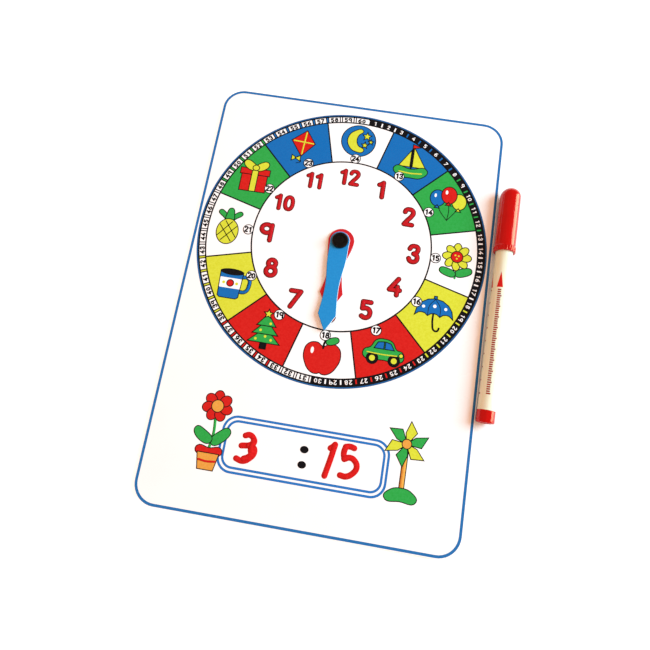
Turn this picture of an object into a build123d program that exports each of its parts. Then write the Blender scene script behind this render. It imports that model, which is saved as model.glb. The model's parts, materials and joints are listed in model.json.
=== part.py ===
from build123d import *
import os
from math import atan2, cos, radians, sin

# Teaching clock: a wipe-clean board, two friction hands on a snap rivet, and its dry-wipe pen.
# Millimetres. The origin is the centre of the board's back face.
# +X points to 3 o'clock, +Y to 12 o'clock and +Z out of the printed face.

# Board, a hardboard core between two thin laminate sheets
board_width = 180.0
board_height = 260.0
corner_radius = 13.5
core_thickness = 2.4
sheet_thickness = 0.3
board_thickness = core_thickness + 2 * sheet_thickness
edge_easing = 0.12

# Pivot stack, from the printed face upwards
pivot_x = -0.8
pivot_y = 36.8
base_washer_thickness = 0.5
middle_washer_thickness = 0.3
hand_thickness = 0.9
base_washer_low = board_thickness
hour_hand_low = base_washer_low + base_washer_thickness
middle_washer_low = hour_hand_low + hand_thickness
minute_hand_low = middle_washer_low + middle_washer_thickness
rivet_head_low = minute_hand_low + hand_thickness

# Rivet: a headed barrel from the front, and a split pin from the back that snaps into it
barrel_radius = 3.0
running_clearance = 0.05
rivet_bore_radius = barrel_radius + running_clearance
rivet_head_radius = 5.0
rivet_head_rise = 2.0
rivet_crown_rounding = 1.45
rivet_recess_radius = 3.0
rivet_recess_depth = 0.5
snap_bore_radius = 1.55
snap_groove_radius = 1.95
snap_groove_low = 3.9
snap_groove_high = 5.4
snap_groove_lead = 0.4
snap_bore_top = 6.2
pin_radius = 1.45
pin_barb_radius = 1.85
pin_barb_start = 3.8
pin_barb_full = 4.2
pin_barb_end = 4.6
pin_tip_radius = 1.0
pin_tip_height = 6.0
pin_slot_width = 0.7
pin_slot_low = 2.4
flange_radius = 8.0
flange_inset = 0.2
flange_thickness = 1.2
flange_easing = 0.35
flange_pocket_radius = 8.2
flange_top = flange_inset + flange_thickness
board_hole_radius = 3.1

# Washers between the hands
base_washer_radius = 5.5
middle_washer_radius = 5.2

# Hands, measured from the pivot along the way they point
hour_hand = {
    "points_to": 180.0,
    "tip": 45.0,
    "shoulder": 32.5,
    "shoulder_half": 6.85,
    "waist": 19.0,
    "waist_half": 4.6,
    "neck": 11.0,
    "neck_half": 5.75,
    "eye_radius": 7.8,
    "eye_centre": (-0.7, -0.4),
}
minute_hand = {
    "points_to": 180.3,
    "tip": 56.3,
    "shoulder": 46.05,
    "shoulder_half": 5.35,
    "waist": 27.0,
    "waist_half": 4.15,
    "neck": 9.5,
    "neck_half": 5.75,
    "eye_radius": 5.9,
    "eye_centre": (0.0, 0.0),
}
eye_leave_angle = 6.0
shoulder_rounding = 0.9
tip_rounding = 0.8
hand_bevel = 0.28

# Pen, a slim bullet-tip marker lying beside the board on its plug and its cap's rim.
# Places along the pen are measured from the plug's end.
pen_end_x = 94.95
pen_end_y = -55.8
pen_yaw = 0.57
pen_length = 141.4
plug_radius = 5.05
plug_length = 7.1
plug_rounding = 0.8
plug_recess_radius = 3.5
plug_recess_depth = 1.1
plug_core_radius = 2.5
plug_floor = 3.0
spigot_radius = 3.85
spigot_end = 13.9
pen_barrel_radius = 4.9
pen_bore_radius = 3.9
pen_shoulder = 108.0
neck_start = 108.8
neck_radius = 4.1
neck_bore_radius = 2.7
neck_bore_end = 115.0
neck_end = 116.0
nose_end = 124.0
nose_radius = 2.7
nib_radius = 2.0
nib_bore_radius = 2.04
nib_tail = 101.5
nib_taper_start = 125.6
nib_tip_radius = 1.0
nib_end = 129.0
centring_rib_count = 4
centring_rib_width = 0.6
centring_rib_inner = 3.65
centring_rib_start = 16.9
centring_rib_end = 103.6
reservoir_radius = 3.6
reservoir_start = 14.3
reservoir_end = 105.6
pen_bore_end = 106.0
cap_mouth = 100.1
cap_radius = 6.0
cap_bore_radius = 5.0
cap_mouth_flare = 0.3
cap_mouth_lead = 0.6
cap_step = 108.6
cap_land_start = 109.4
cap_land_radius = neck_radius + 0.08
cap_land_end = 115.4
cap_chamber_radius = 4.5
cap_end_wall = 2.6
rim_radius = 6.35
rim_length = 3.0
rim_rounding = 0.3
rim_run_out = 0.6
flute_count = 24
flute_half_width = 0.42
flute_depth = 0.3
flute_length = 2.2

os.makedirs("parts", exist_ok=True)

pivot_axis = Axis((pivot_x, pivot_y, 0), (0, 0, 1))
pivot_section = Plane(origin=(pivot_x, pivot_y, 0), x_dir=(1, 0, 0), z_dir=(0, -1, 0))


def turned_corner(centre, radius, start, end, steps):
    """Points of a round corner on a turned profile, in equal turns so that its facets stay few."""
    turns = [radians(start + (end - start) * step / steps) for step in range(steps + 1)]
    return [(centre[0] + radius * cos(turn), centre[1] + radius * sin(turn)) for turn in turns]


# Back sheet: plain laminate, open round the rivet's flange
with BuildPart() as back_sheet:
    with BuildSketch(Plane.XY):
        RectangleRounded(board_width, board_height, corner_radius)
        with Locations((pivot_x, pivot_y)):
            Circle(flange_pocket_radius, mode=Mode.SUBTRACT)
    extrude(amount=sheet_thickness)
    back_rim = back_sheet.faces().sort_by(Axis.Z)[0].outer_wire()
    chamfer(back_rim.edges(), length=edge_easing)

# Core: hardboard, counterbored from the back so that the flange stays off the table
with BuildPart() as board_core:
    with BuildSketch(Plane.XY.offset(sheet_thickness)):
        RectangleRounded(board_width, board_height, corner_radius)
    extrude(amount=core_thickness)
    with Locations(Plane(origin=(pivot_x, pivot_y, sheet_thickness), z_dir=(0, 0, -1))):
        CounterBoreHole(
            radius=board_hole_radius,
            counter_bore_radius=flange_pocket_radius,
            counter_bore_depth=flange_top - sheet_thickness,
        )

# Face sheet: the wipe-clean laminate that carries the dial
with BuildPart() as face_sheet:
    with BuildSketch(Plane.XY.offset(sheet_thickness + core_thickness)):
        RectangleRounded(board_width, board_height, corner_radius)
        with Locations((pivot_x, pivot_y)):
            Circle(board_hole_radius, mode=Mode.SUBTRACT)
    extrude(amount=sheet_thickness)
    face_rim = face_sheet.faces().sort_by(Axis.Z)[-1].outer_wire()
    chamfer(face_rim.edges(), length=edge_easing)

# Rivet head and barrel: the hands turn on the barrel, which holds a snap groove inside
with BuildPart() as pivot_cap:
    with BuildSketch(pivot_section):
        with BuildLine():
            head_top = rivet_head_low + rivet_head_rise
            recess_floor = head_top - rivet_recess_depth
            crown_centre = (rivet_head_radius - rivet_crown_rounding, head_top - rivet_crown_rounding)
            Polyline(
                (rivet_recess_radius, head_top),
                (rivet_recess_radius, recess_floor),
                (0, recess_floor),
                (0, snap_bore_top),
                (snap_bore_radius, snap_bore_top),
                (snap_bore_radius, snap_groove_high),
                (snap_groove_radius, snap_groove_high),
                (snap_groove_radius, snap_groove_low),
                (snap_bore_radius, snap_groove_low - snap_groove_lead),
                (snap_bore_radius, flange_top),
                (barrel_radius, flange_top),
                (barrel_radius, rivet_head_low),
                (rivet_head_radius, rivet_head_low),
                *turned_corner(crown_centre, rivet_crown_rounding, 0, 90, 3),
                close=True,
            )
        make_face()
    revolve(axis=pivot_axis)

# Rivet pin: flange, shank and split barb that springs into the groove
with BuildPart() as pivot_pin:
    with BuildSketch(pivot_section):
        with BuildLine():
            Polyline(
                (0, flange_inset),
                (flange_radius, flange_inset),
                (flange_radius, flange_top),
                (pin_radius, flange_top),
                (pin_radius, pin_barb_start),
                (pin_barb_radius, pin_barb_full),
                (pin_barb_radius, pin_barb_end),
                (pin_tip_radius, pin_tip_height),
                (0, pin_tip_height),
                close=True,
            )
        make_face()
    revolve(axis=pivot_axis)
    with BuildSketch(Plane.XY.offset(pin_slot_low)):
        with Locations((pivot_x, pivot_y)):
            Rectangle(pin_slot_width, 3 * pin_barb_radius)
    extrude(amount=pin_tip_height - pin_slot_low, mode=Mode.SUBTRACT)
    flange_rim = pivot_pin.faces().sort_by(Axis.Z)[0].outer_wire()
    chamfer(flange_rim.edges(), length=flange_easing)


def washer(low, thickness, outer_radius):
    """A flat ring that runs round the rivet's barrel."""
    with BuildPart() as ring:
        with BuildSketch(Plane.XY.offset(low)):
            with Locations((pivot_x, pivot_y)):
                Circle(outer_radius)
                Circle(rivet_bore_radius, mode=Mode.SUBTRACT)
        extrude(amount=thickness)
    return ring


base_washer = washer(base_washer_low, base_washer_thickness, base_washer_radius)
middle_washer = washer(middle_washer_low, middle_washer_thickness, middle_washer_radius)


def hand(low, size):
    """A friction hand: round eye, drawn-in waist and an arrowhead, with a bevelled front."""
    angle = radians(size["points_to"])
    pointing = Plane(
        origin=(pivot_x, pivot_y, low),
        x_dir=(cos(angle), -sin(angle), 0),
        z_dir=(0, 0, 1),
    )
    eye_x, eye_y = size["eye_centre"]
    leave = radians(eye_leave_angle)
    flare_out = 1.6 * (size["shoulder_half"] - size["waist_half"])
    flare_up = size["shoulder"] - size["waist"]
    with BuildPart() as blank:
        with BuildSketch(pointing) as outline:
            with BuildLine():
                for side in (1, -1):
                    eye_edge = (
                        eye_x + side * size["eye_radius"] * cos(leave),
                        eye_y + size["eye_radius"] * sin(leave),
                    )
                    Spline(
                        eye_edge,
                        (side * size["neck_half"], size["neck"]),
                        (side * size["waist_half"], size["waist"]),
                        (side * size["shoulder_half"], size["shoulder"]),
                        tangents=((-side * sin(leave), cos(leave)), (side * flare_out, flare_up)),
                    )
                    Line((side * size["shoulder_half"], size["shoulder"]), (0, size["tip"]))
                Line(
                    (eye_x + size["eye_radius"] * cos(leave), eye_y + size["eye_radius"] * sin(leave)),
                    (eye_x - size["eye_radius"] * cos(leave), eye_y + size["eye_radius"] * sin(leave)),
                )
            make_face()
            fillet(outline.vertices().sort_by_distance((0, size["tip"]))[0], radius=tip_rounding)
            for side in (1, -1):
                shoulder = (side * size["shoulder_half"], size["shoulder"])
                fillet(outline.vertices().sort_by_distance(shoulder)[0], radius=shoulder_rounding)
            with Locations((eye_x, eye_y)):
                Circle(size["eye_radius"])
        extrude(amount=hand_thickness)
        front_edges = blank.faces().sort_by(Axis.Z)[-1].outer_wire().edges()
        chamfer(front_edges, length=hand_bevel)
        with Locations((pivot_x, pivot_y, low)):
            Hole(radius=rivet_bore_radius)
    return blank


hour_pointer = hand(hour_hand_low, hour_hand)
minute_pointer = hand(minute_hand_low, minute_hand)

# The pen leans from its plug to the wider rim of its cap, so both touch the table
rim_rest = cap_mouth + rim_rounding
pen_tilt = atan2(rim_radius - plug_radius, rim_rest - plug_rounding)
pen_turn = radians(pen_yaw)
pen_end_z = plug_radius * cos(pen_tilt) - plug_rounding * sin(pen_tilt)
pen_end = Vector(pen_end_x, pen_end_y, pen_end_z)
pen_across = Vector(cos(pen_turn), -sin(pen_turn), 0)
pen_along = Vector(sin(pen_turn) * cos(pen_tilt), cos(pen_turn) * cos(pen_tilt), sin(pen_tilt))
pen_axis = Axis(pen_end, pen_along)
pen_section = Plane(origin=pen_end, x_dir=pen_across, z_dir=pen_across.cross(pen_along))
pen_cross = Plane(origin=pen_end, x_dir=pen_across, z_dir=pen_along)

# Barrel: a tube with centring ribs, a neck for the cap and a nose that holds the nib
with BuildPart() as pen_barrel:
    with BuildSketch(pen_section):
        with BuildLine():
            Polyline(
                (pen_bore_radius, plug_length),
                (pen_barrel_radius, plug_length),
                (pen_barrel_radius, pen_shoulder),
                (neck_radius, neck_start),
                (neck_radius, neck_end),
                (nose_radius, nose_end),
                (nib_bore_radius, nose_end),
                (nib_bore_radius, neck_end),
                (neck_bore_radius, neck_bore_end),
                (neck_bore_radius, pen_shoulder),
                (pen_bore_radius, pen_bore_end),
                close=True,
            )
        make_face()
    revolve(axis=pen_axis)
    with BuildSketch(pen_cross.offset(centring_rib_start)):
        rib_outer = (pen_bore_radius + pen_barrel_radius) / 2
        with PolarLocations((centring_rib_inner + rib_outer) / 2, centring_rib_count):
            Rectangle(rib_outer - centring_rib_inner, centring_rib_width)
    extrude(amount=centring_rib_end - centring_rib_start)

# End plug: recessed end, and a spigot pushed into the barrel
with BuildPart() as pen_end_plug:
    with BuildSketch(pen_section):
        with BuildLine():
            Polyline(
                (0, plug_recess_depth),
                (0, plug_floor),
                (plug_core_radius, plug_floor),
                (plug_core_radius, spigot_end),
                (spigot_radius, spigot_end),
                (spigot_radius, plug_length),
                (plug_radius, plug_length),
                *turned_corner((plug_radius - plug_rounding, plug_rounding), plug_rounding, 0, -90, 2),
                (plug_recess_radius, 0),
                (plug_recess_radius, plug_recess_depth),
                close=True,
            )
        make_face()
    revolve(axis=pen_axis)

# Reservoir: the fibre rod that holds the ink, bored for the nib's tail
with BuildPart() as pen_reservoir:
    with BuildSketch(pen_cross.offset(reservoir_start)):
        Circle(reservoir_radius)
    extrude(amount=reservoir_end - reservoir_start)
    with BuildSketch(pen_cross.offset(nib_tail)):
        Circle(nib_bore_radius)
    extrude(amount=reservoir_end - nib_tail, mode=Mode.SUBTRACT)

# Nib: a bullet of pressed fibre
with BuildPart() as pen_nib:
    with BuildSketch(pen_section):
        with BuildLine():
            Polyline(
                (0, nib_tail),
                (nib_radius, nib_tail),
                (nib_radius, nib_taper_start),
                *turned_corner((0, nib_end - nib_tip_radius), nib_tip_radius, 30, 90, 2),
                close=True,
            )
        make_face()
    revolve(axis=pen_axis)

# Cap: domed shell with a fluted rim, and a land inside that seals on the neck
with BuildPart() as pen_cap:
    with BuildSketch(pen_section):
        with BuildLine():
            dome_start = pen_length - cap_radius
            chamber_end = pen_length - cap_end_wall
            run_out = cap_mouth + rim_length + rim_run_out
            Polyline(
                (cap_radius, run_out),
                (rim_radius, cap_mouth + rim_length),
                (rim_radius, cap_mouth + rim_rounding),
                (rim_radius - rim_rounding, cap_mouth),
                (cap_bore_radius + cap_mouth_flare, cap_mouth),
                (cap_bore_radius, cap_mouth + cap_mouth_lead),
                (cap_bore_radius, cap_step),
                (cap_land_radius, cap_land_start),
                (cap_land_radius, cap_land_end),
                (cap_chamber_radius, cap_land_end),
                (cap_chamber_radius, chamber_end),
                (0, chamber_end),
                *turned_corner((0, dome_start), cap_radius, 90, 0, 6),
                close=True,
            )
        make_face()
    revolve(axis=pen_axis)
    with BuildSketch(pen_cross.offset(cap_mouth + rim_rounding)):
        with PolarLocations(rim_radius - flute_depth, flute_count):
            Polygon(
                (0, 0),
                (2 * flute_depth, 2 * flute_half_width),
                (2 * flute_depth, -2 * flute_half_width),
                align=None,
            )
    extrude(amount=flute_length, mode=Mode.SUBTRACT)

pieces = {
    "board_core": board_core,
    "face_sheet": face_sheet,
    "back_sheet": back_sheet,
    "pivot_cap": pivot_cap,
    "pivot_pin": pivot_pin,
    "base_washer": base_washer,
    "middle_washer": middle_washer,
    "hour_hand": hour_pointer,
    "minute_hand": minute_pointer,
    "pen_barrel": pen_barrel,
    "pen_end_plug": pen_end_plug,
    "pen_reservoir": pen_reservoir,
    "pen_nib": pen_nib,
    "pen_cap": pen_cap,
}
for node_name, piece in pieces.items():
    piece.part.label = node_name
    export_step(piece.part, f"parts/{node_name}.step")
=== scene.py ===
import json
from math import atan2, ceil, cos, hypot, pi, radians, sin

import bmesh
import bpy
from mathutils import Matrix, Vector


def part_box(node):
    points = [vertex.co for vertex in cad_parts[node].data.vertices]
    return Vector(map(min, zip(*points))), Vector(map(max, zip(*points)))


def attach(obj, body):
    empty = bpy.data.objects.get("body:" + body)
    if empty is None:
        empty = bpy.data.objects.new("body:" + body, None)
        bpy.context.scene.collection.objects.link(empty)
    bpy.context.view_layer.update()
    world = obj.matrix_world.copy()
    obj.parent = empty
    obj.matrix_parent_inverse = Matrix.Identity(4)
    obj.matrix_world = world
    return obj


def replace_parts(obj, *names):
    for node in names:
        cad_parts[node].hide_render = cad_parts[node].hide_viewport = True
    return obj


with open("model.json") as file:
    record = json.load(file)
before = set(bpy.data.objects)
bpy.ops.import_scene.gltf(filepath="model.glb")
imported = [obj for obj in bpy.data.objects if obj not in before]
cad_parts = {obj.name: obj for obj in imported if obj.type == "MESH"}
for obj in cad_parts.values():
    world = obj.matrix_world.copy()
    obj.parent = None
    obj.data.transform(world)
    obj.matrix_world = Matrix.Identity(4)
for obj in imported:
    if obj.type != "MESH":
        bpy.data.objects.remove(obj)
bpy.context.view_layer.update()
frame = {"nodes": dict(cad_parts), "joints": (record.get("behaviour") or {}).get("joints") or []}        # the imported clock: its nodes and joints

# Teaching clock: the looks of its printed board, its hands and rivet, and the pen beside it.
# Shapes are drawn in millimetres and become metres when a piece is finished.
mm = 0.001
mergeDistance = 0.0005   # corners nearer than this become one
scene = bpy.context.scene
scene.view_settings.view_transform = "Standard"    # keeps the inks as saturated as in print
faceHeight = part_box("face_sheet")[1].z / mm        # the printed face
joints = {joint["name"]: joint for joint in frame["joints"]}


# Camera and light

cameraSetup = {
    "place": (13.57, -77.5, 293.5),
    "look": (-0.0497, 0.2100, -0.9764),
    "up": (-0.1591, 0.9635, 0.2153),
    "lens": 28.37,
    "sensor": 36.0,
    "near": 0.01,
}
softboxes = {        # degrees from +X towards +Y and above the table, metres, watts
    "key": {"turn": 20, "height": 32, "distance": 2.0, "size": (1.1, 1.1), "power": 61.5,
            "colour": (0.45, 0.84, 1.0), "mirrored": False},
    "reflector": {"turn": 17, "height": 16, "distance": 1.2, "size": (0.85, 0.7), "power": 27.0,
                  "colour": (1.0, 0.68, 0.45), "mirrored": True},
}
room = {             # a warm room lights the shadows, and shows dim in glossy surfaces
    "fill": (1.02, 0.60, 0.39),
    "mirrored": (0.26, 0.17, 0.13),
    "backdrop": (0.94, 0.94, 0.93),
}


def makeCamera(setup):
    look = Vector(setup["look"]).normalized()
    side = look.cross(Vector(setup["up"])).normalized()
    lens = bpy.data.cameras.new("camera")
    lens.lens = setup["lens"]
    lens.sensor_width = setup["sensor"]
    lens.clip_start = setup["near"]
    camera = bpy.data.objects.new("camera", lens)
    turn = Matrix((side, side.cross(look), -look)).transposed().to_4x4()
    camera.matrix_world = Matrix.Translation(Vector(setup["place"]) * mm) @ turn
    scene.collection.objects.link(camera)
    scene.camera = camera


def makeSoftbox(name, setup):
    turn, height = radians(setup["turn"]), radians(setup["height"])
    away = Vector((cos(turn) * cos(height), sin(turn) * cos(height), sin(height)))
    lamp = bpy.data.lights.new(name, "AREA")
    lamp.shape = "RECTANGLE"
    lamp.size, lamp.size_y = setup["size"]
    lamp.energy = setup["power"]
    lamp.color = setup["colour"]
    softbox = bpy.data.objects.new(name, lamp)
    softbox.visible_glossy = setup["mirrored"]       # the key lights, the reflector only shines in gloss
    softbox.visible_diffuse = not setup["mirrored"]
    softbox.location = away * setup["distance"]
    softbox.rotation_euler = away.to_track_quat("Z", "Y").to_euler()
    scene.collection.objects.link(softbox)


def makeRoom(colours):
    world = bpy.data.worlds.new("room")
    world.use_nodes = True
    tree = world.node_tree
    ray = tree.nodes.new("ShaderNodeLightPath")
    light = tree.nodes["Background"]
    light.inputs["Color"].default_value = (*colours["fill"], 1)
    for kind, test in (("mirrored", "Is Glossy Ray"), ("backdrop", "Is Camera Ray")):
        other = tree.nodes.new("ShaderNodeBackground")
        other.inputs["Color"].default_value = (*colours[kind], 1)
        choice = tree.nodes.new("ShaderNodeMixShader")
        tree.links.new(ray.outputs[test], choice.inputs["Fac"])
        tree.links.new(light.outputs[0], choice.inputs[1])
        tree.links.new(other.outputs[0], choice.inputs[2])
        light = choice
    tree.links.new(light.outputs[0], tree.nodes["World Output"].inputs["Surface"])
    scene.world = world


makeCamera(cameraSetup)
for name, setup in softboxes.items():
    makeSoftbox(name, setup)
makeRoom(room)
print("camera and light ready")


# Materials. Colours are as seen on screen, 0 to 255; scales are features per metre.

noiseDetail = {"mottle": 5, "handling": 6, "grain": 3}
noiseRange = {"mottle": (0.35, 0.65), "handling": (0.3, 0.7)}     # the levels that are spread out
handlingScale = 45
bumpDepth = 0.00003
screenGamma = 2.2


def linear(colour):
    return tuple((value / 255) ** screenGamma for value in colour) + (1.0,)


def noiseNode(tree, place, scale, detail, stretch=(1, 1, 1)):
    mapping = tree.nodes.new("ShaderNodeMapping")
    mapping.inputs["Scale"].default_value = stretch
    noise = tree.nodes.new("ShaderNodeTexNoise")
    noise.inputs["Scale"].default_value = scale
    noise.inputs["Detail"].default_value = detail
    tree.links.new(place.outputs["Object"], mapping.inputs["Vector"])
    tree.links.new(mapping.outputs["Vector"], noise.inputs["Vector"])
    return noise.outputs["Fac"]


def rangeNode(tree, source, start, end, low, high):
    spread = tree.nodes.new("ShaderNodeMapRange")
    for socket, value in (("From Min", start), ("From Max", end), ("To Min", low), ("To Max", high)):
        spread.inputs[socket].default_value = value
    tree.links.new(source, spread.inputs["Value"])
    return spread.outputs["Result"]


def finishMaterial(name, look):
    # two close tones, a roughness that wanders, and a fine bump
    material = bpy.data.materials.new(name)
    material.use_nodes = True
    tree = material.node_tree
    shader = tree.nodes["Principled BSDF"]
    place = tree.nodes.new("ShaderNodeTexCoord")
    stretch = look.get("stretch", (1, 1, 1))

    mottle = noiseNode(tree, place, look["mottle"], noiseDetail["mottle"], stretch)
    share = rangeNode(tree, mottle, *noiseRange["mottle"], 0, 1)
    tones = tree.nodes.new("ShaderNodeMix")
    tones.data_type = "RGBA"
    for socket, tone in zip((6, 7), look["tones"]):      # the node's colour inputs, A and B
        tones.inputs[socket].default_value = linear(tone)
    tree.links.new(share, tones.inputs["Factor"])
    tree.links.new(tones.outputs[2], shader.inputs["Base Color"])

    handling = noiseNode(tree, place, handlingScale, noiseDetail["handling"])
    rough = rangeNode(tree, handling, *noiseRange["handling"], *look["rough"])
    tree.links.new(rough, shader.inputs["Roughness"])

    grain = noiseNode(tree, place, look["grain"], noiseDetail["grain"], stretch)
    bump = tree.nodes.new("ShaderNodeBump")
    bump.inputs["Strength"].default_value = look["bump"]
    bump.inputs["Distance"].default_value = look.get("depth", bumpDepth)
    tree.links.new(grain, bump.inputs["Height"])
    tree.links.new(bump.outputs["Normal"], shader.inputs["Normal"])

    for socket, value in look.get("shader", {}).items():
        shader.inputs[socket].default_value = value
    return material


looks = {
    "hardboard": {"tones": ((150, 112, 78), (108, 76, 50)), "mottle": 900, "stretch": (0.3, 0.3, 3),
                  "grain": 2600, "bump": 0.6, "depth": 0.0001, "rough": (0.7, 0.9)},
    "faceLaminate": {"tones": ((243, 244, 249), (240, 241, 246)), "mottle": 30,
                     "grain": 700, "bump": 0.12, "rough": (0.20, 0.34)},
    "backLaminate": {"tones": ((224, 222, 215), (215, 212, 204)), "mottle": 120,
                     "grain": 1600, "bump": 0.4, "depth": 0.00005, "rough": (0.5, 0.62)},
    "rivetBlack": {"tones": ((12, 12, 13), (20, 20, 20)), "mottle": 600,
                   "grain": 1500, "bump": 0.12, "rough": (0.22, 0.36),
                   "shader": {"Specular IOR Level": 0.35}},
    "washerNylon": {"tones": ((232, 229, 219), (222, 218, 206)), "mottle": 500,
                    "grain": 2200, "bump": 0.2, "rough": (0.4, 0.5)},
    "handWhite": {"tones": ((246, 246, 245), (240, 240, 238)), "mottle": 300,
                  "grain": 1200, "bump": 0.1, "rough": (0.25, 0.35)},
    "penWhite": {"tones": ((225, 230, 212), (220, 225, 204)), "mottle": 260,
                 "stretch": (4, 0.25, 4), "grain": 900, "bump": 0.08, "rough": (0.36, 0.46),
                 "shader": {"Subsurface Weight": 0.12, "Subsurface Scale": 0.001,
                            "Specular IOR Level": 0.06}},
    "penRed": {"tones": ((188, 14, 12), (179, 10, 9)), "mottle": 240, "stretch": (3, 0.4, 3),
               "grain": 800, "bump": 0.06, "rough": (0.14, 0.22),
               "shader": {"Specular IOR Level": 0.22, "Coat Weight": 0.4, "Coat Roughness": 0.08}},
    "inkFibre": {"tones": ((170, 30, 36), (120, 16, 22)), "mottle": 1400, "stretch": (3, 0.2, 3),
                 "grain": 3000, "bump": 0.7, "depth": 0.0001, "rough": (0.75, 0.9)},
    "nibFibre": {"tones": ((150, 18, 22), (100, 10, 14)), "mottle": 1800,
                 "grain": 3600, "bump": 0.6, "depth": 0.00006, "rough": (0.6, 0.8)},
    # the floor's emission colour, for a painted glow that hides cast shadows beside the clock
    "floorPaleGlowing": {"tones": ((248, 248, 247), (245, 245, 244)), "mottle": 4,
                  "grain": 60, "bump": 0.02, "rough": (0.6, 0.7),
                  "shader": {"Emission Color": (0.85, 0.95, 1.0, 1)}},
    "markerRed": {"tones": ((211, 26, 30), (194, 16, 21)), "mottle": 700, "grain": 900,
                  "bump": 0.3, "rough": (0.4, 0.6), "shader": {"Specular IOR Level": 0.3}},
}
printed = {"mottle": 900, "grain": 1400, "bump": 0.06, "rough": (0.24, 0.36),
           "shader": {"Specular IOR Level": 0.3}}
inks = {             # two close tones of each, and all with the finish of print
    "inkBlack": ((16, 17, 22), (24, 25, 30)),
    "inkWhite": ((244, 245, 250), (240, 241, 246)),
    "inkBlue": ((2, 100, 174), (8, 105, 179)),
    "inkBorder": ((30, 102, 165), (38, 109, 173)),
    "inkRing": ((26, 86, 142), (33, 93, 150)),
    "inkBox": ((34, 107, 182), (42, 114, 189)),
    "inkGreen": ((39, 155, 67), (48, 161, 77)),
    "inkYellow": ((199, 204, 51), (207, 213, 66)),
    "inkRed": ((194, 24, 24), (202, 34, 32)),
    "inkOrange": ((214, 146, 62), (220, 156, 74)),
    "inkFigure": ((180, 22, 32), (190, 30, 40)),
    "inkFigureEdge": ((70, 8, 14), (80, 12, 18)),
    "inkPenPrint": ((136, 16, 12), (148, 22, 18)),
    "hourRed": ((190, 30, 40), (198, 38, 48)),
    "minuteBlue": ((22, 128, 196), (32, 136, 203)),
}
for name, tones in inks.items():
    looks[name] = {"tones": tones, **printed}
materials = {name: finishMaterial(name, look) for name, look in looks.items()}
print("materials ready:", len(materials))


# Flat drawing: outlines and strokes at z 0, then made thin closed plates

arcStep = 1.5        # degrees between the corners of a ring
discSides = 36
cornerSteps = 10
outlineSteps = 6


def shapeOf(curve):
    holder = bpy.data.objects.new("drawing", curve)
    mesh = bpy.data.meshes.new_from_object(holder)
    shape = bmesh.new()
    shape.from_mesh(mesh)
    bpy.data.objects.remove(holder)
    bpy.data.curves.remove(curve)
    bpy.data.meshes.remove(mesh)
    bmesh.ops.remove_doubles(shape, verts=shape.verts, dist=mergeDistance)
    return shape


def splineOn(curve, points, smooth, closed, tilt=0.0):
    spline = curve.splines.new("BEZIER")
    spline.bezier_points.add(len(points) - 1)
    for knot, (x, y) in zip(spline.bezier_points, points):
        knot.co = (x, y, 0)
        knot.handle_left_type = knot.handle_right_type = "AUTO" if smooth else "VECTOR"
        knot.tilt = tilt
    spline.use_cyclic_u = closed


def outline(points, smooth=True, grow=0.0):
    # a filled outline through a few points, grown outwards where it is a dark edge
    doubleArea = sum(a[0] * b[1] - b[0] * a[1] for a, b in zip(points, points[1:] + points[:1]))
    if doubleArea < 0:
        points = points[::-1]
    curve = bpy.data.curves.new("outline", "CURVE")
    curve.dimensions = "2D"
    curve.fill_mode = "FRONT"
    curve.resolution_u = outlineSteps
    curve.offset = grow
    splineOn(curve, points, smooth, True)
    return shapeOf(curve)


def stroke(points, width, detail=(5, 7)):
    # a flat line of one width with round ends; three or more points make a curve
    fine, sides = detail
    closed = points[0] == points[-1]
    curve = bpy.data.curves.new("stroke", "CURVE")
    curve.dimensions = "3D"
    curve.twist_mode = "Z_UP"
    curve.extrude = width / 2
    curve.resolution_u = fine if len(points) > 2 else 1
    splineOn(curve, points[:-1] if closed else points, len(points) > 2, closed, pi / 2)
    shape = shapeOf(curve)
    for point, beside in () if closed else ((points[0], points[1]), (points[-1], points[-2])):
        middle = Vector((*point, 0))
        ends = sorted(shape.verts, key=lambda corner: (corner.co - middle).length)[:2]
        cut = bmesh.ops.subdivide_edges(shape, edges=[shape.edges.get(ends)], cuts=1)["geom_inner"]
        hub = next(part for part in cut if isinstance(part, bmesh.types.BMVert))
        arm = hub.link_edges[0]
        end = arm.other_vert(hub)
        turn = pi if (end.co - middle).cross(middle - Vector((*beside, 0))).z > 0 else -pi
        bmesh.ops.spin(shape, geom=[end, hub, arm], axis=(0, 0, 1), cent=middle, angle=turn, steps=sides)
    bmesh.ops.remove_doubles(shape, verts=shape.verts, dist=mergeDistance)
    return shape


def loop(x, y, across, up):
    return [(x, y + up), (x + across, y), (x, y - up), (x - across, y), (x, y + up)]


def disc(x, y, across, up=None):
    shape = bmesh.new()
    bmesh.ops.create_circle(shape, cap_ends=True, segments=discSides, radius=1)
    bmesh.ops.scale(shape, verts=shape.verts, vec=(across, up or across, 1))
    bmesh.ops.translate(shape, verts=shape.verts, vec=(x, y, 0))
    return shape


def bow(inner, outer, start, turn):
    # a stretch of a flat ring about the origin, in degrees clockwise from 12 o'clock
    shape = bmesh.new()
    ends = [shape.verts.new((0, radius, 0)) for radius in (inner, outer)]
    edge = shape.edges.new(ends)
    bmesh.ops.rotate(shape, verts=ends, matrix=Matrix.Rotation(-radians(start), 3, "Z"))
    bmesh.ops.spin(shape, geom=[*ends, edge], axis=(0, 0, 1), cent=(0, 0, 0), angle=-radians(turn),
                   steps=max(1, round(turn / arcStep)), use_merge=turn == 360)
    return shape


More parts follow.
